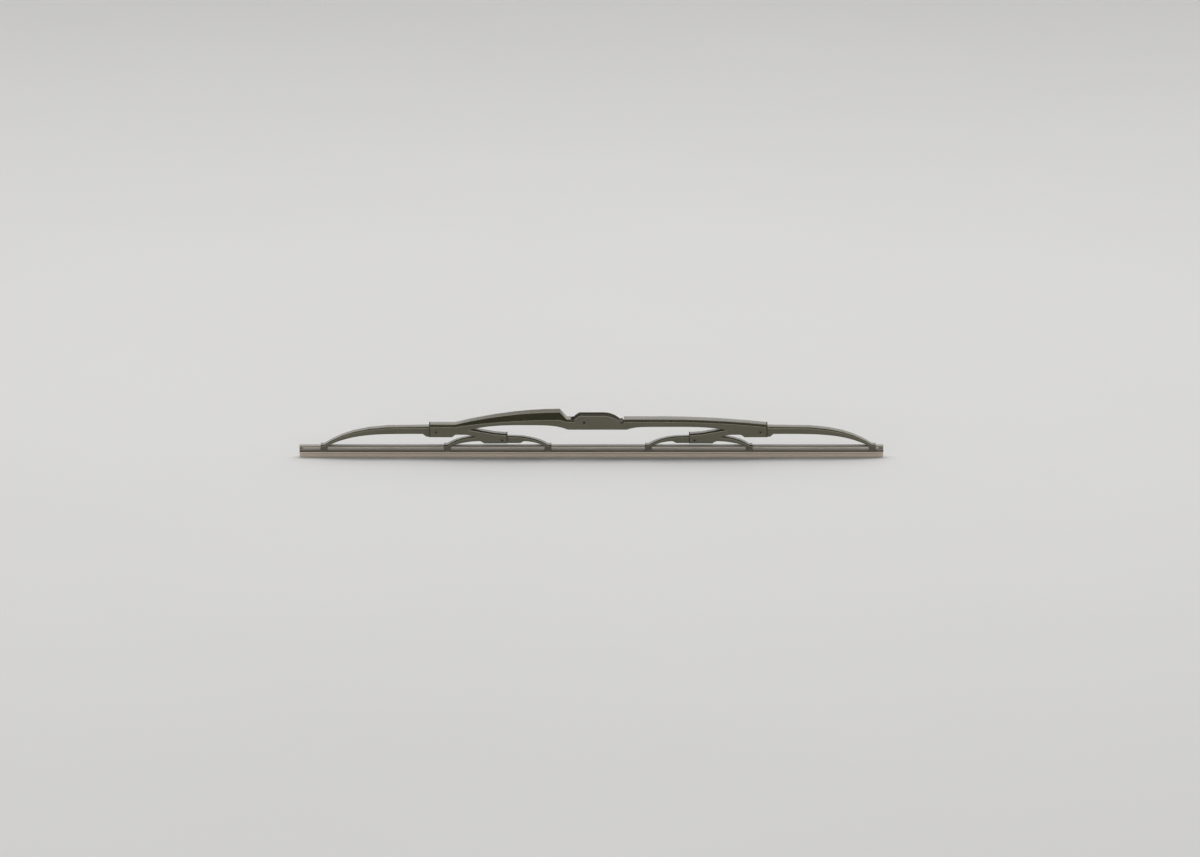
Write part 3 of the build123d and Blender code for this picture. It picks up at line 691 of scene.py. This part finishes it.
def dusted_rubber(name):
    """Extruded rubber with die lines along it, its wiping part painted paler as painted light from
    the front, its groove darkened as painted shade, its top dusted and lightened as painted light,
    and its cut ends in the head's colour."""
    finish = Finish(name)
    grain = finish.effect(surface_grain, Grain_Size=0.35 * mm, Cloud_Size=14 * mm)
    lines = finish.effect(long_streaks, Length=60 * mm, Width=0.35 * mm)
    # Dust laid on thickly: partly real dust, partly painted light that lifts the shade under the
    # levers
    settled = finish.effect(settled_dust, Amount=0.8)
    height = finish.along("Z")
    head = finish.mix(grain["Cloud"], head_brown, head_brown_clouded)
    # Painted light: below the body's top, the wiping part is a paler tan, as if lit from the front
    wiping = finish.mix(grain["Cloud"], wiping_painted_light_tan, wiping_painted_light_tan_clouded)
    colour = finish.mix(finish.ramp(height, *painted_light_reach), head, wiping)
    streaked = finish.ramp(lines["Streak"], start=0.45, end=0.8, at_end=0.3)
    colour = finish.mix(streaked, colour, die_line_brown)
    colour = finish.mix(settled["Mask"], colour, rubber_dust_and_top_light)
    # Painted shade: the groove between head and body is darkened
    aside = finish.calculate("ABSOLUTE", finish.along("Y"))
    groove = finish.ramp(aside, *groove_side)
    for limit in (groove_bottom, groove_top):
        groove = finish.calculate("MULTIPLY", groove, finish.ramp(height, *limit))
    colour = finish.mix(groove, colour, painted_groove_shade)
    from_middle = finish.calculate("SUBTRACT", finish.along("X"), rubber_low.x + rubber_half_length)
    from_middle = finish.calculate("ABSOLUTE", from_middle)
    colour = finish.mix(finish.ramp(from_middle, *cut_end_reach), colour, head)
    roughness = finish.ramp(grain["Grain"], start=0.2, end=0.8, at_start=0.3, at_end=0.42)
    relief = finish.calculate("ADD", lines["Streak"], grain["Grain"])
    normal = finish.bump(relief, distance=0.02 * mm, strength=0.25)
    return finish.feed(Base_Color=colour, Roughness=roughness, Normal=normal)


# Spring steel
strip_grey = (0.29, 0.27, 0.235)
strip_bright = (0.43, 0.41, 0.365)
strip_dull = (0.24, 0.215, 0.18)


def drawn_spring_steel(name):
    """Bright rolled strip with fine drawing lines."""
    finish = Finish(name)
    grain = finish.effect(surface_grain, Grain_Size=0.6 * mm, Cloud_Size=20 * mm)
    lines = finish.effect(long_streaks, Length=40 * mm, Width=0.12 * mm)
    colour = finish.mix(lines["Streak"], strip_grey, strip_bright)
    dulled = finish.ramp(grain["Cloud"], start=0.4, end=0.7, at_end=0.5)
    colour = finish.mix(dulled, colour, strip_dull)
    roughness = finish.ramp(lines["Streak"], start=0.3, end=0.7, at_start=0.28, at_end=0.45)
    normal = finish.bump(lines["Streak"], distance=0.02 * mm, strength=0.3)
    return finish.feed(Base_Color=colour, Roughness=roughness, Normal=normal, Metallic=1.0)


# Finishes on the pieces
def coat(piece, material):
    piece.data.materials.clear()
    piece.data.materials.append(material)


lever_paint = coated_steel(
    "lever_paint",
    body=(0.027, 0.027, 0.013),
    clouded=(0.033, 0.032, 0.017),
    rubbed=(0.09, 0.088, 0.07),
    gloss=1.88,
    # The claws are darkened with painted shade below a height just above the rubber's top
    claw_shade_z=rubber_top_z + claw_shade_rise,
)
adapter_plastic = moulded_plastic(
    "adapter_plastic",
    body=(0.030, 0.027, 0.015),
    clouded=(0.042, 0.038, 0.023),
    rubbed=(0.08, 0.075, 0.055),
    grain_size=0.22 * mm,
    # Painted light at the nose and tail, where the adapter lies in shade
    painted_light_ends=(adapter_nose_painted_light, adapter_tail_painted_light),
)
bush_plastic = moulded_plastic(
    "bush_plastic",
    body=(0.058, 0.056, 0.042),
    clouded=(0.070, 0.067, 0.053),
    rubbed=(0.08, 0.077, 0.062),
    grain_size=0.3 * mm,
)
squeegee_rubber = dusted_rubber("squeegee_rubber")
spring_steel = drawn_spring_steel("spring_steel")

for name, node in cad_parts.items():
    if "lever" in name:
        coat(node, lever_paint)
    elif "bush" in name:
        coat(node, bush_plastic)
    elif "pin" in name:
        coat(node, rivet_steel(name))
    elif name == "adapter":
        coat(node, adapter_plastic)

# Rubber and spring strips, each in two halves, divided along their length so that they can bend
for side, sign in (("left", -1), ("right", 1)):
    rubber_end_x = rubber_high.x if sign > 0 else rubber_low.x
    strip_end_x = strip_high.x if sign > 0 else strip_low.x
    rubber = rubber_half(f"rubber_{side}", lever_centre, rubber_end_x, closed=sign > 0)
    coat(rubber, squeegee_rubber)
    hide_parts("squeegee")
    halves = [rubber]
    for face in ("front", "rear"):
        strip = strip_half(f"strip_{face}_{side}", f"flexor_{face}", lever_centre, strip_end_x)
        coat(strip, spring_steel)
        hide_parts(f"flexor_{face}")
        halves.append(strip)
    for half in halves:
        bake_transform(half)

# Pale floor
floor_z = lip_z - 0.05 * mm
floor_half = 6.0
floor_squares = 8
paper_white = (0.70, 0.70, 0.695)
paper_white_clouded = (0.74, 0.74, 0.735)
bpy.ops.object.select_all(action="DESELECT")
bpy.ops.mesh.primitive_grid_add(
    x_subdivisions=floor_squares,
    y_subdivisions=floor_squares,
    size=2 * floor_half,
    location=(0, 0, floor_z),
)
floor = bpy.context.object
floor.name = "studio_floor"
bpy.ops.object.transform_apply(location=True, rotation=True, scale=True)
floor.select_set(False)
floor_finish = Finish("studio_paper")
paper = floor_finish.effect(surface_grain, Grain_Size=1.5 * mm, Cloud_Size=0.6)
paper_colour = floor_finish.mix(paper["Cloud"], paper_white, paper_white_clouded)
coat(floor, floor_finish.feed(Base_Color=paper_colour, Roughness=0.9))


# Light
def soft_box(name, place, width, height, power):
    """A rectangular light that faces the blade."""
    bpy.ops.object.light_add(type="AREA", location=place)
    box = bpy.context.object
    box.name = name
    box.data.shape = "RECTANGLE"
    box.data.size = width
    box.data.size_y = height
    box.data.energy = power
    aim = Vector((0.0, 0.0, 0.0)) - Vector(place)
    box.rotation_euler = aim.to_track_quat("-Z", "Y").to_euler()


soft_box("overhead_light", place=(0.0, 0.62, 2.4), width=4.0, height=1.1, power=34.0)
soft_box("front_light", place=(-0.3, -3.0, 0.3), width=4.0, height=0.6, power=24.0)

# Room: bright walls, higher behind the blade than in front of it, and dark above them
wall_white = (1.0, 0.99, 0.97)
world = bpy.data.worlds.new("studio_room")
bpy.context.scene.world = world
world.use_nodes = True
room = world.node_tree
backdrop = room.nodes["Background"]
outlook = split_node(room, room.nodes.new("ShaderNodeTexCoord").outputs["Generated"])
wall_rise = ramp_node(room, outlook["Y"], start=-0.30, end=0.05, at_end=0.6)
wall_height = math_node(room, "SUBTRACT", outlook["Z"], wall_rise)
wall_strength = ramp_node(room, wall_height, start=0.20, end=0.45, at_start=1.0, at_end=0.06)
room.links.new(wall_strength, backdrop.inputs["Strength"])
set_socket(room, backdrop.inputs["Color"], wall_white)

# Camera, a long lens a little above the blade
view_width = 0.9246
view_target = Vector((12.25 * mm, 0.0, -6.35 * mm))
view_elevation = math.radians(14.0)
lens, sensor = 200.0, 36.0
view_distance = view_width * lens / sensor
view_reach = 50.0
camera_data = bpy.data.cameras.new("camera")
camera = bpy.data.objects.new("camera", camera_data)
bpy.context.scene.collection.objects.link(camera)
camera_data.lens = lens
camera_data.sensor_width = sensor
camera_data.clip_end = view_reach
camera_back = Vector((0.0, -math.cos(view_elevation), math.sin(view_elevation)))
camera.location = view_target + camera_back * view_distance
camera.rotation_euler = (-camera_back).to_track_quat("-Z", "Y").to_euler()
bpy.context.scene.camera = camera
bpy.context.scene.view_settings.view_transform = "Standard"

bpy.context.view_layer.update()
